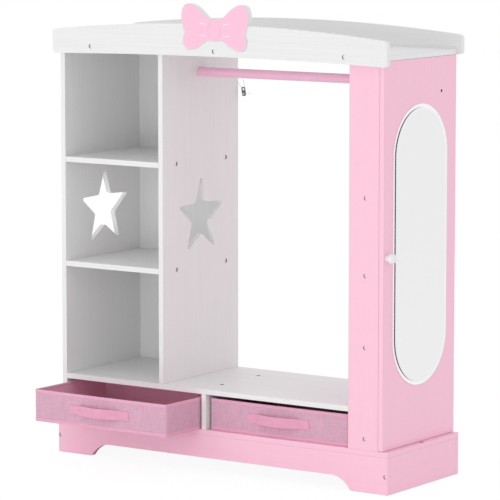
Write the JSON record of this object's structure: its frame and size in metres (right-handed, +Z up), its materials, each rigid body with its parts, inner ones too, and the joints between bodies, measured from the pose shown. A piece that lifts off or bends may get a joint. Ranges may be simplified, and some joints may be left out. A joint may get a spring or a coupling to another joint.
{
  "type": "dress up storage unit with mirror",
  "caption": "Child's open wardrobe with shelf column, star cut-outs, hanging rod, pull-out fabric bins, bow fascia and a mirror door on a slim cabinet.",
  "frame": {"origin": "middle of the footprint of the whole unit as pictured, with the left bin pulled out, on the floor", "axes": "+X to the right seen from the front, +Y to the back, +Z up"},
  "size_m": [1.1134, 0.5791, 1.2831],
  "materials": {
    "white_board": "satin melamine",
    "pink_board": "satin melamine",
    "pink_bow": "satin paint",
    "white_backing": "satin",
    "mirror_glass": "silvered",
    "white_knob": "gloss",
    "pink_rod": "gloss",
    "dowel_wood": "plain",
    "white_plastic": "satin",
    "zinc_steel": "zinc plated",
    "wire_steel": "plain",
    "bin_fabric": "woven",
    "binding_fabric": "tape",
    "strap_fabric": "webbing",
    "insert_board": "covered board"
  },
  "bodies": {
    "cabinet": {"left_side_panel": "white_board", "divider_panel": "white_board", "back_panel": "white_board", "upper_shelf": "white_board", "lower_shelf": "white_board", "floor_panel": "white_board", "bin_divider": "white_board", "bin_back_panel": "white_board", "base_board": "pink_board", "plinth_front": "pink_board", "plinth_back": "pink_board", "plinth_left": "pink_board", "plinth_right": "pink_board", "top_panel": "white_board", "front_fascia": "white_board", "back_fascia": "white_board", "bow": "pink_bow", "column_front_panel": "pink_board", "column_rear_panel": "pink_board", "column_inner_panel": "pink_board", "cabinet_shelf_1": "white_board", "cabinet_shelf_2": "white_board", "cabinet_shelf_3": "white_board", "cabinet_shelf_4": "white_board", "hanging_rod": "pink_rod", "hinge_fixed_leaves": "zinc_steel", "hinge_pins": "zinc_steel", "hinge_fixed_screws": "zinc_steel", "catch_body": "white_plastic", "catch_screws": "zinc_steel", "shelf_screws": "zinc_steel", "column_screws": "zinc_steel", "fascia_screws": "zinc_steel", "plinth_screws": "zinc_steel", "floor_screws": "zinc_steel", "rear_panel_screws": "zinc_steel", "rod_screws": "zinc_steel", "bow_screws": "zinc_steel", "board_dowels": "dowel_wood", "tether_anchor": "zinc_steel", "tether_plate": "zinc_steel", "tether_screw": "zinc_steel", "tether_wire": "wire_steel"},
    "mirror_door": {"mirror_door": "pink_board", "mirror_backing": "white_backing", "mirror_pane": "mirror_glass", "door_knob": "white_knob", "knob_screw": "zinc_steel", "hinge_door_leaves": "zinc_steel", "hinge_door_screws": "zinc_steel", "catch_strike": "zinc_steel"},
    "left_bin": {"left_bin_shell": "bin_fabric", "left_bin_binding": "binding_fabric", "left_bin_insert": "insert_board", "left_bin_handle": "strap_fabric"},
    "right_bin": {"right_bin_shell": "bin_fabric", "right_bin_binding": "binding_fabric", "right_bin_insert": "insert_board", "right_bin_handle": "strap_fabric"}
  },
  "joints": [
    {"name": "mirror_door_hinge", "type": "hinge", "parent": "cabinet", "child": "mirror_door", "pos_m": [0.512, 0.2653, 0.632], "axis": [0, 0, 1], "range_deg": [0, 110]},
    {"name": "left_bin_slide", "type": "slide", "parent": "cabinet", "child": "left_bin", "axis": [0, -1, 0], "range_m": [-0.169, 0.181]},
    {"name": "right_bin_slide", "type": "slide", "parent": "cabinet", "child": "right_bin", "axis": [0, -1, 0], "range_m": [0, 0.35]}
  ]
}
